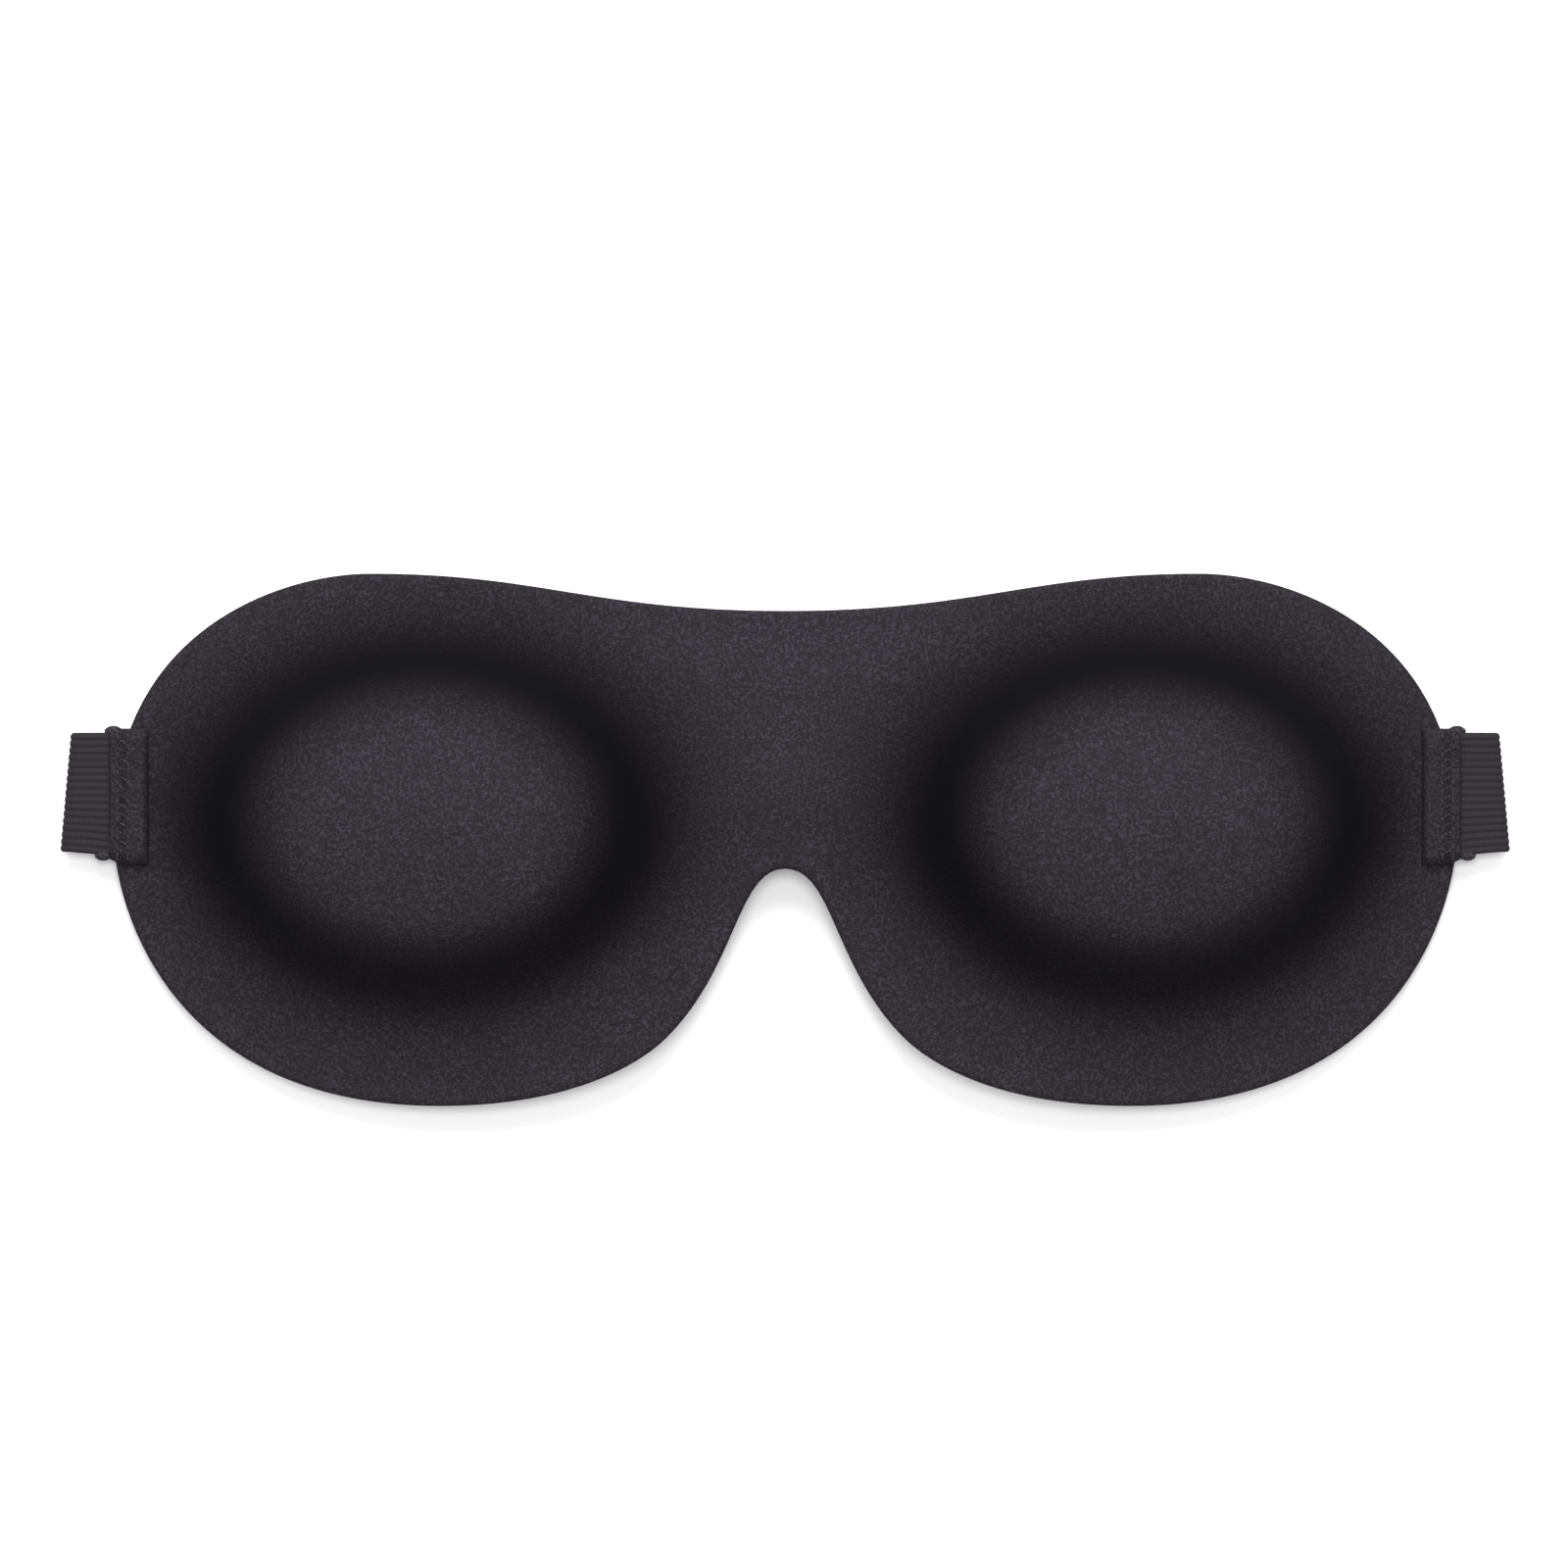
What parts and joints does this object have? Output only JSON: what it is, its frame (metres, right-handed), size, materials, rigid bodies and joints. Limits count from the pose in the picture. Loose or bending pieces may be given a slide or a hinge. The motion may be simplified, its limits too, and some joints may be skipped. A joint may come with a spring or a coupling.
{
  "type": "sleep eye mask",
  "caption": "Contoured padded eye mask with domed eye cups, a nose notch and ribbed elastic straps folded under it, fastening with hook and loop.",
  "frame": {"origin": "on the table under the middle of the mask, at the centre of its bounding box's base", "axes": "the mask lies on its back: +X across the face, +Y to the forehead edge, +Z out of the front of the mask, away from the face"},
  "size_m": [0.2458, 0.09, 0.0302],
  "materials": {
    "cover_knit": "matte",
    "foam": "matte",
    "lining": "matte",
    "elastic": "matte",
    "thread": "matte",
    "loop_tape": "matte",
    "hook_tape": "matte"
  },
  "bodies": {
    "mask": {"outer_cover": "cover_knit", "foam_pad": "foam", "inner_cover": "lining", "side_tab_left": "cover_knit", "side_tab_right": "cover_knit", "tab_stitches_left": "thread", "tab_stitches_right": "thread", "strap_stub_left": "elastic", "strap_stub_right": "elastic", "strap_fold_left": "elastic", "strap_fold_right": "elastic"},
    "left_strap": {"strap_left": "elastic", "loop_patch": "loop_tape", "loop_stitches": "thread"},
    "right_strap": {"strap_right": "elastic", "hook_patch": "hook_tape", "hook_stitches": "thread"}
  },
  "joints": [
    {"name": "left_strap_swing", "type": "hinge", "parent": "mask", "child": "left_strap", "pos_m": [-0.1196, 0.008, 0.0036], "axis": [0, 1, 0], "range_deg": [0, 180], "deforming": ["strap_fold_left"]},
    {"name": "right_strap_swing", "type": "hinge", "parent": "mask", "child": "right_strap", "pos_m": [0.1196, 0.008, 0.0036], "axis": [0, -1, 0], "range_deg": [0, 180], "deforming": ["strap_fold_right"]}
  ]
}
